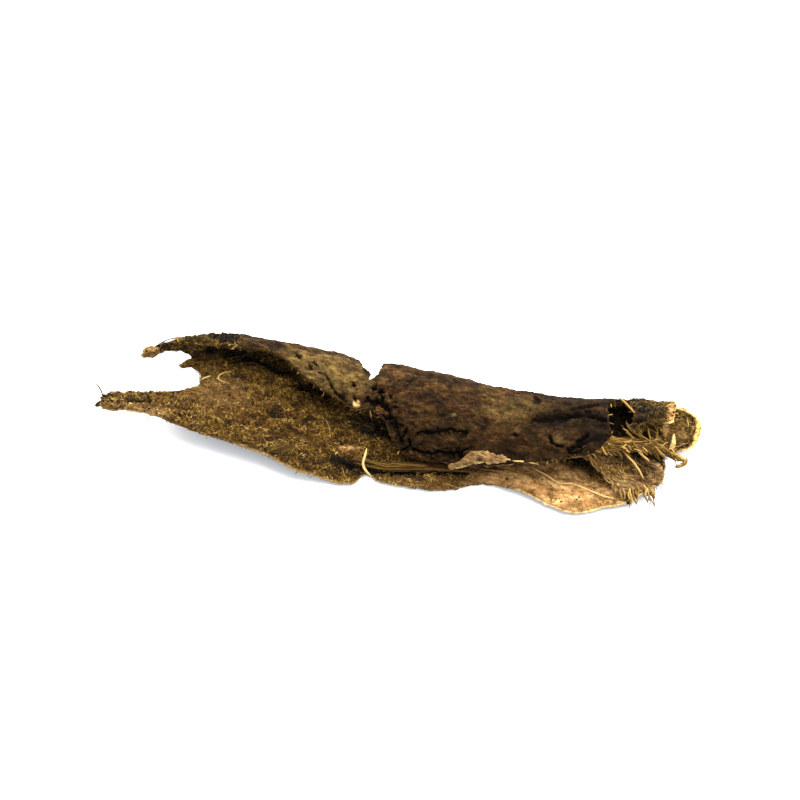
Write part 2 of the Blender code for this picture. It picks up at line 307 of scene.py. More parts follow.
# Painted patches by kind and layer: centre x and y, radii along and across in mm, strength.
PATCHES = {
    # The dark patches are painted shade under the rim, under the flap's edge, in the hollow and in the
    # front notch, with some soil.
    "soil": {
        BAST: [(-10.5, -9.3, 3.6, 1.2, 1), (-5.4, -10, 3.4, 0.9, 1), (-8.3, -10.2, 4.6, 1.5, 1),
            (-9.5, -11, 4, 1, 0.35), (42, 8, 3.6, 6, 1), (41.8, 3, 3.2, 3.6, 1),
            (47.5, 3.6, 3.4, 2.6, 0.8), (49, 1.2, 4.2, 1.5, 0.9), (-34, 9.5, 7, 1.5, 1),
            (-41, 9.4, 4, 1.3, 0.9), (-26, 8, 3.6, 0.9, 0.95), (-21.3, 5.4, 2.6, 1, 0.9),
            (-5.5, -0.6, 4.5, 2.4, 1), (-3.4, -1.4, 3.4, 1.7, 1), (36.4, -1.6, 2.8, 1.3, 1),
            (39, -3, 2, 0.9, 0.8), (-48.3, 6.5, 2.2, 1.2, 0.8), (-56.5, -7.4, 2.2, 0.9, 0.55),
            (48, 7.2, 3.8, 1.2, 0.8), (-17.5, 5.2, 3, 1, 0.8), (48, 8.4, 3.8, 2.6, 0.7),
            (45, 5, 3.4, 3.6, 0.9), (-40, 11.4, 7, 2.2, 0.9), (-35, 12.6, 3.4, 1.4, 1),
            (-41.5, 12, 2.4, 1.2, 0.95), (-46, 9.4, 2.2, 1, 0.8), (43, 9, 5, 5, 1),
            (46.5, 6, 4, 3.6, 0.95), (48, 10.4, 5, 2, 0.5), (-24, -9.4, 9, 3.2, 0.28)],
        TORN: [(-4, -1, 4.5, 3, 1), (41.5, 8, 4, 8, 1), (-36, 9, 16, 6, 0.75), (-18, 8, 12, 6, 0.6)],
        SKIN: [(-3.6, -0.6, 2.6, 1.2, 0.9), (39.5, 7, 2.6, 4.2, 0.75), (35, -2, 3.4, 2.2, 0.5),
            (6, 3.6, 2.6, 1.1, 0.28), (26.5, 7.4, 2.2, 1.2, 0.5), (-34, 12.6, 5, 1.6, 0.4),
            (-4, -0.2, 3, 2.2, 0.4), (8, -5.6, 7, 1.6, 0.3), (-8.2, 9.6, 1.4, 2.4, 0.7),
            (1.5, -4.8, 2.6, 2, 0.35), (33, 4, 9, 6.5, 0.55), (38.5, 1.5, 4, 5, 0.8),
            (20, -5, 12, 2, 0.3), (30, -4, 7, 2.4, 0.45), (-33, 12.8, 4, 1.6, 0.7), (37, 5, 6, 6, 0.6)],
    },
    "pale": {
        BAST: [(22.5, -7.6, 8.5, 3, 0.75), (33.5, -9, 9, 4.4, 0.9), (41.5, -9.6, 5.6, 3.6, 0.85),
            (30, -4.6, 8, 2.2, 0.7), (4, -11, 12, 2.4, 0.12), (-10.6, -6.2, 1.2, 0.5, 0.9),
            (-8.6, -5.7, 1.2, 0.45, 0.7), (-49.5, -6.3, 4.2, 0.6, 0.7), (-50.8, 5.4, 2.6, 0.9, 0.55),
            (59.2, 8, 1.1, 4.2, 1), (58.2, 10.8, 1.6, 1, 0.7), (52.6, 8.2, 0.8, 3.4, 0.9),
            (55.3, 7.4, 2.4, 2.6, 0.25), (-38, 0.5, 7.5, 4.6, 0.2), (-51, -6, 5, 1.6, 0.2)],
        TORN: [(58.6, 7, 3.6, 6.5, 1), (53, 9, 1.6, 5, 1), (38, -11, 14, 5, 0.9), (50, -6, 6, 6, 0.9),
            (-18, -13, 22, 4, 0.35), (-55, -6, 8, 4, 0.3)],
        # On the skin, one small chip is painted pale, partly as a painted highlight where it catches
        # the light.
        SKIN: [(-9.2, 1.3, 0.7, 0.9, 1)],
    },
    "olive": {
        BAST: [(-41, 9.6, 7, 2, 0.7), (56, 7, 4, 5, 0.5), (50, 8.6, 4, 3, 0.5),
            (-22.9, -9.6, 2.6, 1.8, 0.5)],
        SKIN: [(-16, 7, 10, 5, 0.9), (10.3, 1.3, 0.55, 0.6, 1), (31.3, -0.8, 1.2, 1.1, 0.8),
            (24, 5.4, 3.6, 2, 0.5), (20, 3, 5, 1.6, 0.4)],
    },
    # Cream: the pale colour of freshly torn fibre at the tongue's end and the fan's edge, made brighter
    # as a painted highlight where these ends catch the light.
    "cream_and_highlight": {
        BAST: [(59.3, 7.4, 1.5, 5, 1)],
        TORN: [(59.6, 7, 3, 6.5, 1), (52.8, 9, 1.5, 4, 0.8), (46, -10, 8, 4, 0.4)],
    },
}
# Shelter at which the painted shade starts, and at which it is darkest.
SHADE_FROM_SHELTER = (0.6, 1.0)


def painted(kind, places, share_of, wander):
    """Strength of one kind of patch at each place; wander makes its edge uneven."""
    strength = np.zeros(len(places))
    for layer, patches in PATCHES[kind].items():
        for x, y, along, across, most in patches:
            away = np.hypot((places[:, 0] - x) / along, (places[:, 1] - y) / across)
            away *= 1.0 + 0.55 * np.clip(wander, -0.8, 1.0)
            fade = np.clip((1.25 - away) / 0.6, 0, 1) * share_of[layer]
            fade *= np.clip(1.0 + 0.5 * wander, 0.5, 1.15)
            strength = np.maximum(strength, most * fade)
    return np.clip(strength, 0, 1)


def paint_on(mesh, values):
    """Stores painted values on a mesh, one attribute for each kind."""
    for kind, numbers in values.items():
        mesh.attributes.new(kind, "FLOAT", "POINT").data.foreach_set("value", numbers)


facing_up = np.clip(normals[:, 2] * 3 + 0.6, 0, 1)
share_of = {SKIN: share[:, SKIN] * facing_up, BAST: share[:, BAST] * facing_up, TORN: share[:, TORN]}
# Painted shade: the more closed in a place is, the darker it is painted.
low_shelter, high_shelter = SHADE_FROM_SHELTER
shelter_shade = np.clip((shelter - low_shelter) / (high_shelter - low_shelter), 0, 1)
# The table shelters the outside of the sheet too, and no painted shade is put on that side.
shelter_shade *= (share[:, BAST] + share[:, TORN]) * (normals[:, 2] > -0.3)
paint = {kind: painted(kind, places, share_of, slow_wobble) for kind in PATCHES}
splits = np.array([skin_split(p) if s > 0 else 0.0 for p, s in zip(places, share[:, SKIN])])
# Peat brown stains in the bast, a few millimetres long.
stains = np.array([ripple(p, 3.0, 1.4, 61.0) + 0.7 * ripple(p, 1.3, 0.8, 63.0) for p in places])
stains = np.clip(1.6 * (stains - 0.08), 0, 0.75) * share[:, BAST] * (1 - paint["pale"])
# The dark paint joins the painted shade of the closed places, marks and dark patches with peat stains
# and the skin's splits.
paint["soil"] = np.maximum.reduce([paint["soil"], soil, 0.9 * shelter_shade, stains,
                                   0.6 * splits * share[:, SKIN]])
paint["pale"] = paint["pale"] * (1 - 0.9 * soil)

places = places + normals * lift[:, None]
places[:, 2] = np.maximum(places[:, 2], 0.0)
sheet.data.vertices.foreach_set("co", (places * MM).ravel())
paint_on(sheet.data, paint)
sheet.data.shade_smooth()
sheet.data.update()


def hex_colour(text):
    """An sRGB hex colour as linear red, green, blue and alpha."""
    values = [int(text[i:i + 2], 16) / 255 for i in (1, 3, 5)]
    return [v / 12.92 if v <= 0.04045 else ((v + 0.055) / 1.055) ** 2.4 for v in values] + [1.0]


def add_node(tree, kind, inputs=None, stops=None, **settings):
    """Adds a node with its properties and colour stops, its inputs set or linked."""
    made = tree.nodes.new(kind)
    for name, value in settings.items():
        setattr(made, name, value)
    if stops:
        ramp = made.color_ramp
        while len(ramp.elements) < len(stops):
            ramp.elements.new(0.5)
        for element, (position, colour) in zip(ramp.elements, stops):
            element.position = position
            element.color = hex_colour(colour)
    for key, value in (inputs or {}).items():
        if isinstance(value, bpy.types.NodeSocket):
            tree.links.new(value, made.inputs[key])
        else:
            made.inputs[key].default_value = value
    return made


def start_material(material, roughness, specular):
    """Starts a material with one Principled BSDF, and returns its tree and shader."""
    material.use_nodes = True
    tree = material.node_tree
    tree.nodes.clear()
    shader = add_node(tree, "ShaderNodeBsdfPrincipled",
                      {"Roughness": roughness, "Specular IOR Level": specular})
    add_node(tree, "ShaderNodeOutputMaterial", {"Surface": shader.outputs["BSDF"]})
    return tree, shader


def grain_noise(tree, along, across, detail=5.0, roughness=0.6):
    """Noise on Object coordinates, its cells as long and wide as given in mm."""
    where = add_node(tree, "ShaderNodeTexCoord")
    drawn = add_node(tree, "ShaderNodeMapping", {
        "Vector": where.outputs["Object"],
        "Scale": (1000 / along, 1000 / across, 1000 / across)})
    return add_node(tree, "ShaderNodeTexNoise", {
        "Vector": drawn.outputs["Vector"], "Scale": 1.0, "Detail": detail,
        "Roughness": roughness}).outputs["Fac"]


def blend(tree, mode, factor, below, above):
    """Mixes two colours, each a socket or a hex text."""
    below, above = [hex_colour(c) if isinstance(c, str) else c for c in (below, above)]
    mix = add_node(tree, "ShaderNodeMix", {0: factor, 6: below, 7: above},
                   data_type="RGBA", blend_type=mode)
    return mix.outputs[2]


def ramp(tree, factor, stops):
    """A colour ramp over a factor."""
    return add_node(tree, "ShaderNodeValToRGB", {"Fac": factor}, stops=stops).outputs["Color"]


def attribute(tree, name):
    """The value that was painted on the piece under this name."""
    return add_node(tree, "ShaderNodeAttribute", attribute_name=name).outputs["Fac"]


def paint_over(tree, kind, colour, above):
    """Covers a colour with another where this kind of value is painted."""
    return blend(tree, "MIX", attribute(tree, kind), colour, above)


def finish_material(tree, shader, colour, height, strength, distance):
    """Links the colour and a bump of the given height to the shader."""
    bump = add_node(tree, "ShaderNodeBump", {
        "Height": height, "Strength": strength, "Distance": distance * MM})
    tree.links.new(colour, shader.inputs["Base Color"])
    tree.links.new(bump.outputs["Normal"], shader.inputs["Normal"])


# Weathered cork skin: dry, dull and blotched grey brown, painted black in its splits and pits as shade
# and soil.
tree, shader = start_material(sheet.data.materials[SKIN], 0.9, 0.05)
colour = ramp(tree, grain_noise(tree, 5.0, 2.8, 8.0, 0.62), [
    (0.32, "#1f1309"), (0.45, "#352411"), (0.55, "#473118"), (0.68, "#604526")])
hue = ramp(tree, grain_noise(tree, 2.6, 1.7, 3.0), [
    (0.36, "#a8875f"), (0.50, "#ffffff"), (0.64, "#c3cf9a")])
colour = blend(tree, "MULTIPLY", 0.85, colour, hue)
olive = ramp(tree, grain_noise(tree, 3.4, 2.0, 6.0), [
    (0.34, "#48381d"), (0.52, "#6a552d"), (0.68, "#836d39")])
colour = paint_over(tree, "olive", colour, olive)
colour = paint_over(tree, "pale", colour, "#c8a468")
# The grit noise is both the bump and a darkening of the colour in its low places, as painted shade.
grit = grain_noise(tree, 0.62, 0.42, 3.0, 0.7)
colour = blend(tree, "MULTIPLY", 0.85, colour, ramp(tree, grit, [(0.30, "#6b6661"), (0.62, "#ffffff")]))
# Painted shade and soil: near black where the sheet is closed in, in the marks and in the dark patches.
colour = paint_over(tree, "soil", colour, "#070402")
streaks = ramp(tree, grain_noise(tree, 1.3, 0.7, 5.0, 0.7), [
    (0.36, "#4a423c"), (0.48, "#b3aaa2"), (0.60, "#ffffff")])
colour = blend(tree, "MULTIPLY", 0.7, colour, streaks)
finish_material(tree, shader, colour, grit, 0.75, 0.22)

# Dried bast: matted fibres, painted dark brown where they lie deep as shade and straw gold where they
# lie on top, from the same noise as the bump.
tree, shader = start_material(sheet.data.materials[BAST], 0.85, 0.1)
strands = grain_noise(tree, 1.1, 0.30, 5.0, 0.65)
colour = ramp(tree, strands, [
    (0.34, "#100702"), (0.46, "#2c1805"), (0.56, "#4e3211"), (0.70, "#7d5926")])
colour = blend(tree, "MULTIPLY", 0.9, colour, ramp(tree, grain_noise(tree, 8.0, 4.0), [
    (0.34, "#9a8c7c"), (0.60, "#ffffff")]))
olive = ramp(tree, strands, [(0.34, "#1c1609"), (0.50, "#4e4120"), (0.68, "#887741")])
colour = paint_over(tree, "olive", colour, olive)
tan = ramp(tree, grain_noise(tree, 3.2, 0.8, 6.0, 0.62), [
    (0.32, "#7f552d"), (0.45, "#a57846"), (0.56, "#c3965e"), (0.70, "#deb67e")])
colour = paint_over(tree, "pale", colour, tan)
# Cream: pale fibre colour and painted highlight on the lit torn end.
colour = paint_over(tree, "cream_and_highlight", colour, "#f8c66a")
# Painted shade and soil: near black where the sheet is closed in, in the marks and in the dark patches.
colour = paint_over(tree, "soil", colour, "#060402")
finish_material(tree, shader, colour, strands, 0.9, 0.25)

# Torn bast: broken fibre ends along the edges, paler than the faces, painted darker where the relief is
# low as shade, from the same noise as the bump.
tree, shader = start_material(sheet.data.materials[TORN], 0.85, 0.1)
ends = grain_noise(tree, 0.8, 0.4, 5.0, 0.65)
colour = ramp(tree, ends, [(0.32, "#221506"), (0.50, "#4a3314"), (0.68, "#775829")])
fresh = ramp(tree, ends, [(0.32, "#b98f50"), (0.50, "#e6c17c"), (0.66, "#fde3a6")])
colour = paint_over(tree, "pale", colour, fresh)
# Cream: pale fibre colour and painted highlight on the lit torn end.
colour = paint_over(tree, "cream_and_highlight", colour, "#ffd27c")
# Painted shade and soil: near black where the edge is closed in.
colour = paint_over(tree, "soil", colour, "#060402")
finish_material(tree, shader, colour, ends, 0.8, 0.2)

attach(sheet, "root")
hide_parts("bark")

# ----------------------------------------
# The fibre mat: loose bast fibres a few millimetres long, matted like felt on the inner face.
# They are the broken ends of the fibres that once held the bark to the wood.
surface_tree = BVHTree.FromPolygons([Vector(p) for p in places], faces_of_sheet)


def model_strand(name, sides, pieces):
    """The fibre that is copied: a unit long along X, a unit wide, with tapered ends."""
    bpy.ops.object.select_all(action="DESELECT")
    bpy.ops.mesh.primitive_cylinder_add(vertices=sides, radius=0.5, depth=1.0, end_fill_type="NGON")
    strand = bpy.context.object
    strand.name = name
    bpy.ops.object.mode_set(mode="EDIT")
    for k in range(1, pieces):
        bpy.ops.mesh.select_all(action="SELECT")
        bpy.ops.mesh.bisect(plane_co=(0, 0, k / pieces - 0.5), plane_no=(0, 0, 1))
    bpy.ops.object.mode_set(mode="OBJECT")
    for vertex in strand.data.vertices:
        taper = 1.0 - 0.8 * abs(2 * vertex.co.z) ** 4
        vertex.co = Vector((vertex.co.z + 0.5, vertex.co.x * taper, vertex.co.y * taper))
    return strand


def lay_mesh(name, places, faces, values, material):
    """A piece of the bark from places in mm, faces and painted values."""
    mesh = bpy.data.meshes.new(name)
    mesh.from_pydata(np.concatenate(places) * MM, [], faces)
    paint_on(mesh, values)
    mesh.materials.append(material)
    made = bpy.data.objects.new(name, mesh)
    bpy.context.scene.collection.objects.link(made)
    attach(made, "root")
    return made


def lay_strands(name, strand, routes, material):
    """One mesh of copies of a strand, each bent along its route.

    A route is (points, ups, width, thickness, values) in mm, where values are its painted ones.
    """
    base = np.array([tuple(v.co) for v in strand.data.vertices])
    faces = [list(f.vertices) for f in strand.data.polygons]
    all_places, all_faces, all_values = [], [], {}
    for points, ups, width, thickness, values in routes:
        points = np.array(points, float)
        run = np.gradient(points, axis=0)
        run /= np.linalg.norm(run, axis=1, keepdims=True) + 1e-9
        side = np.cross(np.array(ups, float), run)
        side /= np.linalg.norm(side, axis=1, keepdims=True) + 1e-9
        up = np.cross(run, side)
        at = np.clip(base[:, 0], 0, 1) * (len(points) - 1)
        before = np.clip(at.astype(int), 0, len(points) - 2)
        t = (at - before)[:, None]
        middle, across, above = [rows[before] * (1 - t) + rows[before + 1] * t
                                 for rows in (points, side, up)]
        placed = middle + across * base[:, 1:2] * width + above * base[:, 2:3] * thickness
        placed[:, 2] = np.maximum(placed[:, 2], 0.0)
        offset = len(all_places) * len(base)
        all_places.append(placed)
        all_faces += [[v + offset for v in face] for face in faces]
        for kind, value in values.items():
            all_values.setdefault(kind, []).extend([value] * len(base))
    lay_mesh(name, all_places, all_faces, all_values, material).data.shade_smooth()


def walk(start, up, heading, step, steps, lift, bend):
    """A route that creeps over the sheet from a start, turning a little at each step."""
    points, ups = [], []
    place = start
    turn = bend * between(-1, 1)
    for k in range(steps + 1):
        arch = 1.0 - (2 * k / steps - 1) ** 2
        points.append(place + up * lift * (0.3 + 0.7 * arch))
        ups.append(up)
        flat = (heading - up * heading.dot(up)).normalized()
        place, normal, _, _ = surface_tree.find_nearest(place + flat * step)
        up = normal if normal.dot(up) > 0 else up
        heading = flat + up.cross(flat) * (turn + 0.5 * bend * between(-1, 1))
    return points, ups


# Dry bast fibre: dull straw, each strand its own tone, from peat brown to pale gold, and near black
# where it carries painted shade and soil.
fibre_material = bpy.data.materials.new("loose_bast_fibre")
tree, shader = start_material(fibre_material, 0.8, 0.1)
colour = ramp(tree, attribute(tree, "tone"), [
    (0.0, "#251505"), (0.35, "#4e3611"), (0.65, "#795b23"), (0.88, "#a07d3a"), (1.0, "#c5a65e")])
fresh = ramp(tree, attribute(tree, "tone"), [(0.0, "#77532b"), (0.5, "#a8834b"), (1.0, "#cfb17b")])
colour = paint_over(tree, "pale", colour, fresh)
colour = paint_over(tree, "soil", colour, "#080502")
tree.links.new(colour, shader.inputs["Base Color"])

FELT_FIBRES = 27000
LONG_FIBRES = 380
FIBRES_A_PIECE = 8000
chance = random.Random(7)
between = chance.uniform
short_strand = model_strand("short_strand", 3, 3)
long_strand = model_strand("long_strand", 3, 6)
bast_faces = [f for f in sheet.data.polygons if f.material_index == BAST]


def fibre_density(face):
    """How thickly fibres lie on a face: thinly where it is pale or painted dark with shade and soil."""
    corner = face.vertices[0]
    bare = 0.88 * paint["pale"][corner] + 0.6 * paint["soil"][corner]
    under = 0.25 if face.normal.z < -0.2 else 1.0
    return max(0.08, 1.0 - bare) * under * face.area


weights = [fibre_density(face) for face in bast_faces]


def scatter(number, length, width, spread, bend, lift, steps):
    """Routes for fibres spread at random over the bast."""
    routes = []
    for face in chance.choices(bast_faces, weights=weights, k=number):
        mix = [chance.random() + 0.05 for _ in face.vertices]
        start = sum((sheet.data.vertices[v].co * m for v, m in zip(face.vertices, mix)),
                    Vector()) / sum(mix) / MM
        angle = chance.gauss(0, spread)
        heading = Vector((math.cos(angle), math.sin(angle), 0)) * chance.choice((1, -1))
        if abs(heading.dot(face.normal)) > 0.95:
            continue
        long = between(*length)
        thick = between(*width)
        points, ups = walk(start, face.normal.copy(), heading, long / steps, steps,
                           between(*lift), bend)
        corner = face.vertices[0]
        # Fibres that lie together have weathered alike.
        clump = 0.5 + 0.9 * ripple(start, 1.3, 0.8, 51.0) + 0.9 * ripple(start, 0.6, 0.4, 53.0)
        tone = min(1.0, max(0.0, 0.6 * clump + 0.45 * chance.betavariate(1.6, 1.5)))
        # Each fibre takes the painted shade and soil of the sheet under it.
        values = {"tone": tone, "pale": float(paint["pale"][corner]),
                  "soil": float(min(1.0, paint["soil"][corner] * between(0.75, 1.15)))}
        routes.append((points, ups, thick, 0.8 * thick, values))
    return routes


felt = scatter(FELT_FIBRES, (0.4, 1.2), (0.10, 0.17), 1.1, 1.3, (0.08, 0.42), 3)
felt.sort(key=lambda route: route[0][0].x)
for k in range(0, len(felt), FIBRES_A_PIECE):
    lay_strands(f"felt_{k // FIBRES_A_PIECE + 1}", short_strand, felt[k:k + FIBRES_A_PIECE],
                fibre_material)
lay_strands("long_fibres", long_strand,
            scatter(LONG_FIBRES, (2.0, 5.0), (0.11, 0.19), 0.30, 0.22, (0.15, 0.5), 6),
            fibre_material)

# ----------------------------------------
# Crumbs: grains of broken cork and bast dust, caught in the fibres and on the bare rims.
CRUMBS = 3600
bpy.ops.object.select_all(action="DESELECT")
bpy.ops.mesh.primitive_ico_sphere_add(subdivisions=1, radius=0.5)
crumb = bpy.context.object
grain_places = np.array([tuple(v.co) for v in crumb.data.vertices])
grain_faces = [list(f.vertices) for f in crumb.data.polygons]
crumb_weights = []
for face in bast_faces:
    centre = face.center / MM
    crumbly = centre.z > 5.5 and (centre.x < -32 or centre.x > 45)
    crumb_weights.append(face.area * (20.0 if crumbly else 1.0) * (face.normal.z > -0.3))
all_places, all_faces, tones, soils = [], [], [], []
for face in chance.choices(bast_faces, weights=crumb_weights, k=CRUMBS):
    size = 0.14 + 0.42 * chance.random() ** 3
    squash = np.array([between(0.7, 1.5), between(0.6, 1.1), between(0.6, 1.0)])
    spin = between(0, math.pi)
    turn = np.array([[math.cos(spin), -math.sin(spin), 0], [math.sin(spin), math.cos(spin), 0],
                     [0, 0, 1]])
    knobbly = 1 + 0.25 * np.array([between(-1, 1) for _ in grain_places])[:, None]
    spot = np.array(face.center) / MM + np.array(face.normal) * 0.3 * size
    offset = len(all_places) * len(grain_places)
    all_places.append((grain_places * knobbly * squash * size) @ turn.T + spot)
    all_faces += [[v + offset for v in f] for f in grain_faces]
    tones += [chance.random()] * len(grain_places)
    # Each crumb takes the painted shade and soil of the face it lies on.
    soils += [float(paint["soil"][face.vertices[0]])] * len(grain_places)
bpy.data.objects.remove(crumb)

# Broken cork and bast dust: matt grains, brown to olive tan, near black where they carry painted shade
# and soil.
crumb_material = bpy.data.materials.new("bark_crumbs")
tree, shader = start_material(crumb_material, 0.9, 0.05)
colour = ramp(tree, attribute(tree, "tone"), [
    (0.0, "#17100a"), (0.5, "#43351b"), (0.85, "#76603a"), (1.0, "#a48c5c")])
colour = blend(tree, "MULTIPLY", 0.6, colour, ramp(tree, grain_noise(tree, 0.3, 0.25), [
    (0.35, "#777777"), (0.6, "#ffffff")]))
colour = paint_over(tree, "soil", colour, "#080502")
tree.links.new(colour, shader.inputs["Base Color"])
lay_mesh("crumbs", all_places, all_faces, {"tone": tones, "soil": soils}, crumb_material)

# ----------------------------------------
# The layered bast along the front of the roll: thin ribbons of the inner bark that have come
# apart where the sheet was bent.


def smooth_route(points, steps):
    """A smooth curve through the points, with this many steps from one to the next."""
    knots = [np.array(p, float) for p in points]
    knots = [2 * knots[0] - knots[1]] + knots + [2 * knots[-1] - knots[-2]]
    path = []
    for i in range(1, len(knots) - 2):
        before, here, there, after = knots[i - 1:i + 3]
        for k in range(steps):
            t = k / steps
            path.append(0.5 * (2 * here + (there - before) * t
                               + (2 * before - 5 * here + 4 * there - after) * t * t
                               + (3 * here - before - 3 * there + after) * t ** 3))
    path.append(knots[-2])
    return path


def strand_along(points, width, thickness, seed, waver=0.15, **values):
    """A strand's route through given points, wavering as a dry fibre does."""
    path = []
    for p in smooth_route(points, 3):
        push = [noise.noise(Vector((p[0] / 1.6 + 7.3 * seed, p[1] / 1.6, seed + shift)))
                for shift in (0.3, 31.7, 63.1)]
        path.append(p + waver * np.array(push))
    return path, [(0.0, -0.35, 1.0)] * len(path), width, thickness, values


# The line of the ribbons, from left of the notch to the pale sliver, in mm.
PLY_LINE = [(-14, -7.9, 2.4), (-10.9, -8.5, 2.7), (-7.9, -8.7, 2.8), (-4.5, -8.9, 2.9),
            (-0.8, -9, 3.1), (3.2, -8.5, 3.2), (7.1, -8, 3.3), (11.1, -7.4, 3.2),
            (17, -6.9, 3), (22, -6.7, 2.6)]
PLY_RIBBONS = 26
ply_strand = model_strand("ply_strand", 4, 14)
ply_routes = []
# Some ribbons are painted dark: soil, and painted shade under the flap's edge.
for k in range(PLY_RIBBONS):
    first = chance.choice((2, 3, 3, 4, 4, 5, 5, 6))
    last = min(len(PLY_LINE), first + chance.randrange(3, 6))
    aside = np.array([between(-1, 1), between(-0.8, 0.8), between(-0.9, 0.3)])
    points = [np.array(p) + aside for p in PLY_LINE[first:last]]
    ply_routes.append(strand_along(points, between(0.2, 0.5), between(0.15, 0.3),
                                   k, 0.35, tone=between(0.05, 0.55), pale=0.0,
                                   soil=chance.choice((0.0, 0.3, 0.7))))
lay_strands("ply_ribbons", ply_strand, ply_routes, fibre_material)

# ----------------------------------------
# The torn leaves: thin sheets of bast that have split off the sheet and stayed on it, the pale
# sliver on the front edge of the flap, and the golden fan and its pointed shard at the far end.
LEAF_CELL = 0.22


def lay_leaf(name, rows, thickness, relief, tear, paint_at):
    """A torn leaf of bast through rows of given points, in mm.

    Its edges waver by up to tear, and paint_at gives its painted values from how far along the
    rows and how far from the first row to the last a place is.
    """
    finer = [smooth_route(row, 4) for row in rows]
    net = np.array([smooth_route(column, 4) for column in zip(*finer)])
    long = np.linalg.norm(np.diff(net.mean(axis=1), axis=0), axis=1).sum()
    wide = np.linalg.norm(np.diff(net.mean(axis=0), axis=0), axis=1).sum()
    bpy.ops.object.select_all(action="DESELECT")
    bpy.ops.mesh.primitive_grid_add(x_subdivisions=max(4, round(long / LEAF_CELL)),
                                    y_subdivisions=max(4, round(wide / LEAF_CELL)), size=1.0)
    leaf = bpy.context.object
    leaf.name = name
    values = {}
    for vertex in leaf.data.vertices:
        along, across = vertex.co.x + 0.5, vertex.co.y + 0.5
        frays = [tear * abs(noise.noise(Vector((t * span / 1.1, side, len(rows[0])))))
                 + 0.5 * tear * abs(noise.noise(Vector((t * span / 0.4, side, 3.0))))
                 for t, span, side in ((across, wide, 1.5), (across, wide, 9.5),
                                       (along, long, 17.5), (along, long, 25.5))]
        along = frays[0] / long + along * (1 - (frays[0] + frays[1]) / long)
        across = frays[2] / wide + across * (1 - (frays[2] + frays[3]) / wide)
        i, j = along * (len(net) - 1), across * (len(net[0]) - 1)
        i0, j0 = min(int(i), len(net) - 2), min(int(j), len(net[0]) - 2)
        s, t = i - i0, j - j0
        place = ((net[i0, j0] * (1 - s) + net[i0 + 1, j0] * s) * (1 - t)
                 + (net[i0, j0 + 1] * (1 - s) + net[i0 + 1, j0 + 1] * s) * t)
        bulge = relief * (ripple(place, 1.6, 0.7, 41.0) + 0.6 * ripple(place, 0.5, 0.35, 44.0))
        vertex.co = Vector(place + np.array((0.0, -0.4, 0.9)) * bulge) * MM
        painted_here = paint_at(along, across)
        mottle = max(0.0, ripple(place, 1.7, 0.8, 71.0) + 0.5 * ripple(place, 0.6, 0.4, 73.0))
        painted_here["soil"] = min(1.0, painted_here["soil"] + 0.9 * mottle)
        for kind, value in painted_here.items():
            values.setdefault(kind, []).append(value)
    paint_on(leaf.data, values)
    bpy.ops.object.modifier_add(type="SOLIDIFY")
    solidify = leaf.modifiers[-1]
    solidify.thickness = thickness * MM
    solidify.offset = 0.0
    bpy.ops.object.modifier_apply(modifier=solidify.name)
    leaf.data.materials.append(leaf_material)
    leaf.data.shade_smooth()
    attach(leaf, "root")


# Split bast: clean straw gold fibres side by side, painted darker in the grooves between them as shade,
# from the same noise as the bump.
leaf_material = bpy.data.materials.new("split_bast_leaf")
tree, shader = start_material(leaf_material, 0.8, 0.1)
strands = grain_noise(tree, 1.3, 0.28, 5.0, 0.65)
colour = ramp(tree, strands, [
    (0.34, "#251508"), (0.46, "#4a2f16"), (0.56, "#6a4d27"), (0.70, "#906f41")])
fresh = ramp(tree, strands, [(0.34, "#a87c44"), (0.50, "#deb473"), (0.66, "#fbe0a4")])
colour = paint_over(tree, "pale", colour, fresh)
# Painted shade and soil: near black where the leaf is painted dark.
colour = paint_over(tree, "soil", colour, "#060402")
finish_material(tree, shader, colour, strands, 0.9, 0.2)


def near(value, middle, reach):
    """One at the middle, falling to nothing a reach away."""
    return max(0.0, 1.0 - abs(value - middle) / reach)


lay_leaf("pale_sliver", [
    [(10.2, -7.6, 4.6), (12.1, -7.5, 6.2), (14.6, -5.6, 8), (16.8, -4.9, 7.9),
     (19.2, -4.9, 7.8), (20.9, -5.1, 7.8), (22.6, -5.8, 7.5)],
    [(10.6, -8.2, 4.6), (12.6, -8, 5.9), (14.8, -6.9, 7.3), (16.9, -6.4, 7.5),
     (19.2, -6.2, 7.3), (21, -6.1, 7.4), (22.9, -6.1, 7.3)],
    [(11.2, -8.6, 4.4), (13.2, -8.3, 5.4), (15.4, -7.8, 6.4), (17.2, -7.4, 6.6),
     (19, -7, 6.2), (21, -6.6, 6.9), (23.3, -6.3, 7.1)],
], 0.35, 0.16, 0.5, lambda along, across: {
    "pale": 0.1 + 0.5 * near(across, 1.0, 0.25),
    "soil": 0.9 * near(along, 0.47, 0.13) * near(across, 0.62, 0.25)
    + 0.5 * near(along, 0.72, 0.08) * near(across, 0.35, 0.2)})

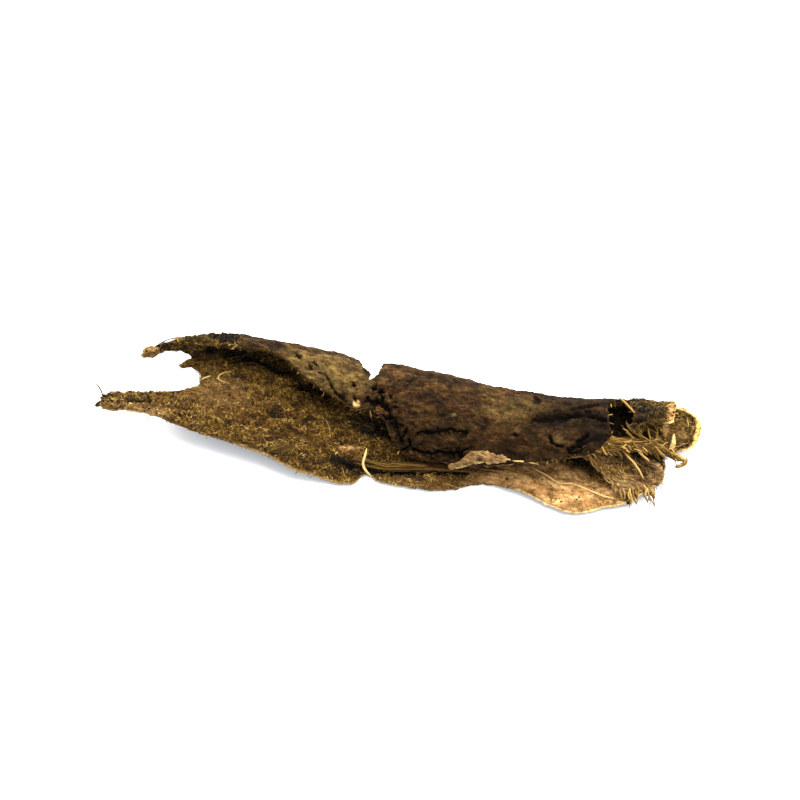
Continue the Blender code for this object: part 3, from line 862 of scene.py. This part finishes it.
# The fan is painted dark near its top under the ridge, as painted shade.
lay_leaf("torn_fan", [
    [(36.2, -1.4, 5.4), (37.9, -2.5, 4), (39.8, -3.7, 3.2), (41.8, -5.1, 2.9),
     (43.5, -6.7, 2.7), (44.6, -8.2, 2.3)],
    [(38.6, -0.6, 6), (40.5, -1.8, 4.6), (42.4, -3.1, 3.7), (44.3, -4.5, 3.2),
     (46, -6, 2.9), (47.2, -7.5, 2.4)],
    [(42.3, -0.2, 5.4), (44, -1.3, 4.2), (45.8, -2.3, 3.4), (47.5, -3.5, 3),
     (49, -4.8, 2.7), (49.9, -6.3, 2.3)],
    [(46.3, 0, 4.4), (48, -0.7, 3.5), (49.6, -1.3, 3), (50.9, -2.2, 2.7),
     (51.8, -3.4, 2.5), (52.1, -4.9, 2.2)],
    [(49.8, 0.9, 3.2), (51.3, 0.5, 2.9), (52.4, -0.2, 2.8), (53.1, -1.3, 2.7),
     (53.4, -2.6, 2.5), (53, -4.2, 2.2)],
], 0.45, 0.34, 0.9, lambda along, across: {
    "pale": max(0.1 * across, 0.95 * near(across, 1.0, 0.12) * (along > 0.3),
                0.45 * near(along, 1.0, 0.1) * (across > 0.5),
                0.4 * near(along, 0.7, 0.5) * near(across, 0.1, 0.4)),
    "soil": max(0.95 * near(along, 0.1, 0.4) * near(across, 0.72, 0.5),
                0.5 * near(along, 0.6, 0.35) * near(across, 0.75, 0.35))})

lay_leaf("pointed_shard", [
    [(53.1, 1.9, 5.2), (53.4, 3.5, 5.8), (53.7, 5.3, 6.2)],
    [(54.7, 2.1, 5.1), (54.5, 3.5, 5.6), (54, 5.3, 6.1)],
], 0.4, 0.12, 0.25, lambda along, across: {"pale": 0.95 * near(along, 0.8, 0.8), "soil": 0.0})

lay_leaf("broken_stub", [
    [(45.3, -7.6, 1.7), (46, -8.3, 1.5), (46.7, -9.2, 1.1)],
    [(46.2, -7.2, 1.7), (46.9, -7.9, 1.4), (47.5, -8.7, 1)],
], 0.8, 0.15, 0.2, lambda along, across: {"pale": 0.0, "soil": 0.45})

# ----------------------------------------
# The frayed end: a ridge of bast fibres pulled out of the sheet, which runs over the fan and ends
# in a hook past the rim, with loose tips all along it and a fringe on the fan's edge.
RIDGE = [(36.3, -2, 8), (38.3, -0.5, 8.5), (40.6, 0.3, 8), (43.7, 0.9, 7.2),
         (47.3, 1.8, 6.4), (50.2, 2.1, 5.8), (52.4, 1.8, 5.3), (54.6, 1.2, 4.8),
         (56.4, 0.9, 4.4)]
HOOK = [(53.4, 1.7, 5.1), (55.4, 1.1, 4.7), (56.8, 0.7, 4.4), (56.6, 0, 3.9), (55, -0.7, 3.3)]
RIDGE_STRANDS = 260
RIDGE_TIPS = 75
HOOK_STRANDS = 16
FRINGE_STRANDS = 46
fray_strand = model_strand("fray_strand", 4, 12)
ridge_line = np.array(smooth_route(RIDGE, 6))


def ridge_spread(share):
    """Half the width of the ridge in mm: broad at the sheet, narrow at the hook."""
    return 1.7 * (1 - share) ** 0.7 + 0.3


def bowed(start, aim, reach, bow):
    """Three points that run from start along aim, the middle one pushed by bow."""
    return [start, start + 0.5 * reach * aim + np.array(bow), start + reach * aim]


fray_routes = []
for k in range(RIDGE_STRANDS):
    first = int(len(ridge_line) * 0.75 * chance.random() ** 1.2)
    last = min(len(ridge_line) - 1, first + chance.randrange(9, 24))
    around = between(0, 2 * math.pi)
    out = chance.random() ** 0.5
    points = []
    for i in range(first, last + 1, 4):
        wide = ridge_spread(i / len(ridge_line)) * out
        points.append(ridge_line[i] + np.array((0.0, wide * math.cos(around),
                                                0.55 * wide * math.sin(around) - 0.2)))
    if len(points) < 2:
        continue
    # Strands near the top of the ridge are made lighter and those under it darker, as painted light and
    # shade.
    top = 0.5 + 0.5 * math.sin(around)
    fray_routes.append(strand_along(
        points, between(0.10, 0.26), between(0.1, 0.18), k, 0.6,
        tone=0.1 + 0.75 * chance.random() * (0.4 + 0.6 * top),
        pale=0.15 * chance.random(), soil=0.7 * (1 - top) * chance.random()))
for k in range(RIDGE_TIPS):
    i = chance.randrange(3, len(ridge_line) - 8)
    wide = ridge_spread(i / len(ridge_line))
    start = ridge_line[i] + np.array((0.0, between(-1, 0.8) * wide, between(-0.3, 0.5) * wide))
    reach = between(1.2, 3.4)
    aim = np.array((0.75, chance.choice((-0.75, -0.6, -0.3, 0.5)), between(-0.45, 0.1)))
    fray_routes.append(strand_along(
        bowed(start, aim, reach, (0, 0, 0.25)), between(0.12, 0.3), between(0.1, 0.18), 300 + k, 0.6,
        tone=between(0.2, 0.95), pale=0.4 * chance.random() ** 2, soil=0.0))
for k in range(HOOK_STRANDS):
    aside = np.array([chance.gauss(0, 0.22) for _ in range(3)])
    points = [np.array(p) + aside for p in HOOK[:chance.choice((4, 5, 5))]]
    fray_routes.append(strand_along(points, between(0.2, 0.4), 0.2, 500 + k, 0.25,
                                    tone=between(0.4, 1.0), pale=0.3, soil=0.0))

# The fringe: fibres of the fan's front edge, bent down and out, in tufts.
FRINGE_TUFTS = [((46.4, -6.4, 2.8), (47.6, -9.4, 1.7)), ((47.2, -6.2, 2.8), (48.6, -8.9, 1.6)),
                ((49.6, -5.6, 2.5), (51.4, -8.9, 1.7)), ((50.2, -5.4, 2.5), (52, -8, 1.7)),
                ((44.6, -6.8, 2.7), (45.4, -8.6, 1.9))]
for k in range(FRINGE_STRANDS):
    root, tip = FRINGE_TUFTS[k % len(FRINGE_TUFTS)]
    root = np.array(root) + np.array([between(-0.7, 0.7), between(-0.4, 1.0), 0.1])
    tip = np.array(tip) + np.array([chance.gauss(0, 0.55), chance.gauss(0, 0.6), between(-0.2, 0.4)])
    tip = root + (tip - root) * between(0.55, 1.05)
    middle = 0.5 * (root + tip) + np.array([between(-0.4, 0.4), 0.2, 0.4])
    fray_routes.append(strand_along(
        [root, middle, tip], between(0.2, 0.42), between(0.14, 0.24), 600 + k, 0.5,
        tone=between(0.1, 1.0), pale=0.4 * chance.random(),
        soil=0.5 * chance.random() ** 2))
lay_strands("frayed_ridge", fray_strand, fray_routes, fibre_material)

# The surface fibres of the fan: fine, straight, down and out over the lobe.
FAN_FIBRES = 420
fan_routes = []
for k in range(FAN_FIBRES):
    s, t = chance.random(), chance.random()
    start = np.array((37.0 + 11.0 * s + 5.6 * t, -1.6 + 2.2 * s - 5.0 * t, 5.6 - 1.4 * s - 2.4 * t))
    reach = between(0.6, 1.9)
    turn = -0.65 + 0.55 * chance.gauss(0, 1)
    aim = np.array((math.cos(turn), math.sin(turn), -0.25))
    # Fan fibres under the ridge and towards the far end are painted dark, as painted shade.
    fan_routes.append(strand_along(
        bowed(start, aim, reach, (0, 0, 0.15)), between(0.1, 0.2), 0.1, 900 + k, 0.4,
        tone=chance.random(), pale=(0.25 * t + 0.35 * (s < 0.4)) * chance.random(),
        soil=max(0.7 * max(0.0, s - 0.2) * (t < 0.3), 0.5 * (s > 0.55))))
lay_strands("fan_fibres", short_strand, fan_routes, fibre_material)

# ----------------------------------------
# The single straws and hairs: stray bast and rootlets that lie on the bark or stand off its
# edges, each with its own shape.
# Width and thickness in mm, tone, pale, painted shade and soil, and the points it runs through.
STRAWS = {
    "lobe_straw": (0.42, 0.3, 0.75, 1.0, 0.0, [
        (26.9, -4.7, 2.6), (30.1, -5.8, 2.2), (32.9, -7.1, 2.1), (35.3, -6.7, 2),
        (38.5, -7.6, 2.2), (41.7, -8.5, 2.4), (44.2, -8.8, 2.4)]),
    "sliver_tail": (0.35, 0.25, 0.8, 0.6, 0.0, [
        (21.5, -5.9, 7.6), (23.6, -6.1, 7.6), (26.1, -5.9, 7.7), (28.3, -6, 7.4)]),
    "splinter": (0.5, 0.4, 0.9, 0.9, 0.0, [
        (-5.7, -7, 5), (-5.9, -8.4, 4.5), (-6.1, -9.7, 3.7), (-5.4, -10.7, 2.8),
        (-4.1, -11.3, 1.4)]),
    "notch_twig": (0.35, 0.3, 0.3, 0.1, 0.2, [
        (-8.6, -9.2, 3.4), (-7.2, -8.6, 4), (-5.4, -8.9, 4.1), (-3.2, -9.6, 3.6)]),
    "prong_hair": (0.35, 0.3, 0.35, 0.1, 0.1, [
        (-59.4, -6.6, 7.2), (-59.2, -5.4, 7.9), (-59.8, -4.4, 9.4), (-60.9, -3.7, 11)]),
    "prong_knob": (1.1, 0.9, 0.1, 0.0, 0.35, [
        (-60.6, -7.2, 6.6), (-59.4, -6.6, 7.2), (-58, -6.2, 7.3)]),
    "rim_speck": (0.35, 0.3, 0.2, 0.0, 0.3, [(-40.6, 9.9, 11.4), (-39.4, 10.4, 11.5)]),
    "rim_twig": (0.3, 0.25, 0.3, 0.1, 0.2, [
        (-51.4, 6.2, 8.8), (-49.8, 7.4, 9.6), (-47.8, 8.3, 10.3), (-46.4, 8.6, 10.6)]),
    "curly_rootlet": (0.28, 0.24, 0.9, 0.4, 0.0, [
        (-35.8, 5.7, 4.5), (-37.4, 4.8, 4.8), (-38, 4, 4.8), (-37.6, 3.2, 4.7),
        (-35.5, 2.9, 4.4)]),
    "gap_straw": (0.3, 0.25, 0.95, 0.6, 0.0, [(-41.4, 2.9, 4.5), (-39.5, 3.9, 4.8)]),
    "prong_rootlet": (0.3, 0.25, 0.85, 0.3, 0.0, [
        (-49, 7, 8.4), (-47.2, 7.9, 9.8), (-45.6, 8.4, 10.5), (-44.2, 8.4, 10.2)]),
    "prong_straight_hair": (0.25, 0.2, 0.8, 0.3, 0.0, [
        (-46, 7.9, 10.2), (-47.6, 8.9, 11.2), (-49, 9.7, 11.9)]),
    "low_prong_hair": (0.3, 0.25, 0.9, 0.5, 0.0, [
        (-47.6, -3, 5.8), (-46.4, -4.2, 5.6), (-45.6, -5.2, 5.2)]),
    "hollow_straw": (0.45, 0.35, 0.7, 0.1, 0.1, [
        (42, 11.2, 7), (43, 9.9, 8.2), (44.3, 8.4, 9), (45.9, 6.6, 9.4)]),
    "tongue_straw": (0.35, 0.3, 0.9, 0.7, 0.0, [
        (54.6, 9.2, 3.6), (56, 10.4, 4.4), (56.9, 8.4, 4)]),
    "hanging_strand": (0.4, 0.3, 0.85, 0.4, 0.0, [
        (44.6, -0.6, 6.6), (46.4, -1.6, 5.6), (47.9, -2.9, 4.8), (49.1, -4.4, 4.1)]),
    "hanging_strand_short": (0.45, 0.3, 0.8, 0.4, 0.0, [
        (47, 0.6, 6.3), (48.3, -0.2, 5.8), (49.8, -0.9, 5.2)]),
    "upright_shred": (0.35, 0.3, 0.6, 0.3, 0.0, [
        (49.6, 2.6, 6), (49, 4, 7), (48.4, 5.4, 7.6)]),
    "upright_shred_right": (0.3, 0.25, 0.6, 0.3, 0.0, [
        (50.4, 3, 5.8), (50.6, 4.3, 6.6), (50.4, 5.6, 7.2)]),
}
straw_routes = [strand_along(points, width, thickness, 40 + k, 0.08, tone=tone, pale=pale,
                             soil=soil)
                for k, (width, thickness, tone, pale, soil, points) in enumerate(STRAWS.values())]

# Short hairs stand off the rims, and dull shreds cross the hollow behind the ridge.
RIM_HAIRS = 70
HOLLOW_SHREDS = 34
rim_faces = [f for f in sheet.data.polygons if f.material_index == TORN and f.center.z > 2 * MM]
for k in range(RIM_HAIRS):
    face = chance.choice(rim_faces)
    start = np.array(face.center) / MM
    aim = np.array(face.normal) + np.array([between(-1, 1) for _ in range(3)]) * 0.8
    reach = between(0.3, 0.9)
    bow = [between(-0.2, 0.2) for _ in range(3)]
    straw_routes.append(strand_along(
        bowed(start, aim, reach, bow), between(0.1, 0.2), 0.1, 80 + k, 0.15,
        tone=chance.random(), pale=0.4 * chance.random(), soil=0.2 * chance.random()))
for k in range(HOLLOW_SHREDS):
    start = np.array((between(43.0, 50.0), between(2.8, 7.0), between(6.0, 8.4)))
    aim = np.array((between(0.5, 1.0), between(-0.9, -0.2), between(-0.5, 0.1)))
    reach = between(1.2, 3.4)
    straw_routes.append(strand_along(
        bowed(start, aim, reach, (0, 0, 0)), between(0.14, 0.34), 0.14, 240 + k, 0.4,
        tone=between(0.15, 0.75), pale=0.1, soil=0.5 * chance.random()))
lay_strands("straws_and_hairs", fray_strand, straw_routes, fibre_material)

# ----------------------------------------
# The setting: a plain white table top, soft light from behind on the right, and a camera that
# looks down on the piece.
bpy.ops.object.select_all(action="DESELECT")
# The table top is a hair below the bark, so that the two faces don't coincide.
TABLE_GAP = 0.05 * MM
bpy.ops.mesh.primitive_plane_add(size=4.0, location=(0, 0, -TABLE_GAP))
floor = bpy.context.object
floor.name = "table_top"
# Matt white laminate: an even, very light surface.
white = bpy.data.materials.new("matt_white_laminate")
tree, shader = start_material(white, 0.9, 0.1)
shader.inputs["Base Color"].default_value = hex_colour("#f6f7f9")
floor.data.materials.append(white)

world = bpy.data.worlds.new("soft_daylight")
world.use_nodes = True
sky = world.node_tree.nodes["Background"].inputs
sky["Color"].default_value = (0.96, 0.975, 1.0, 1.0)
sky["Strength"].default_value = 1.3
bpy.context.scene.world = world


def soft_light(name, direction, distance, size, watts, colour):
    """A square area light that faces the piece from a direction."""
    lamp = bpy.data.lights.new(name, "AREA")
    lamp.size = size
    lamp.energy = watts
    lamp.color = colour
    light = bpy.data.objects.new(name, lamp)
    direction = Vector(direction).normalized()
    light.location = direction * distance
    light.rotation_mode = "QUATERNION"
    light.rotation_quaternion = direction.to_track_quat("Z", "Y")
    bpy.context.scene.collection.objects.link(light)


soft_light("key_light", (0.30, 0.60, 1.0), 1.0, 1.1, 36.0, (1.0, 0.98, 0.94))
soft_light("rim_light", (-0.1, 1.0, 0.30), 0.8, 0.3, 14.0, (1.0, 0.96, 0.86))
bpy.context.scene.view_settings.view_transform = "Standard"

CAMERA_TURN = math.radians(9.15)
CAMERA_RISE = math.radians(65.0)
CAMERA_DISTANCE = 0.3333
LENS = 75.0
AIM_HEIGHT = 4.0 * MM
right = Vector((math.cos(CAMERA_TURN), math.sin(CAMERA_TURN), 0))
back = Vector((math.sin(CAMERA_TURN) * math.cos(CAMERA_RISE),
               -math.cos(CAMERA_TURN) * math.cos(CAMERA_RISE), math.sin(CAMERA_RISE)))
above = back.cross(right)
# The piece lies a little below the middle of the view.
target = Vector((0, 0, AIM_HEIGHT)) + above * 4.6 * MM - right * 0.2 * MM
lens = bpy.data.cameras.new("camera")
lens.lens = LENS
lens.clip_start = 0.01
camera = bpy.data.objects.new("camera", lens)
camera.location = target + back * CAMERA_DISTANCE
camera.rotation_mode = "QUATERNION"
camera.rotation_quaternion = back.to_track_quat("Z", "Y")
bpy.context.scene.collection.objects.link(camera)
bpy.context.scene.camera = camera

for spent in (short_strand, long_strand, ply_strand, fray_strand):
    bpy.data.objects.remove(spent)
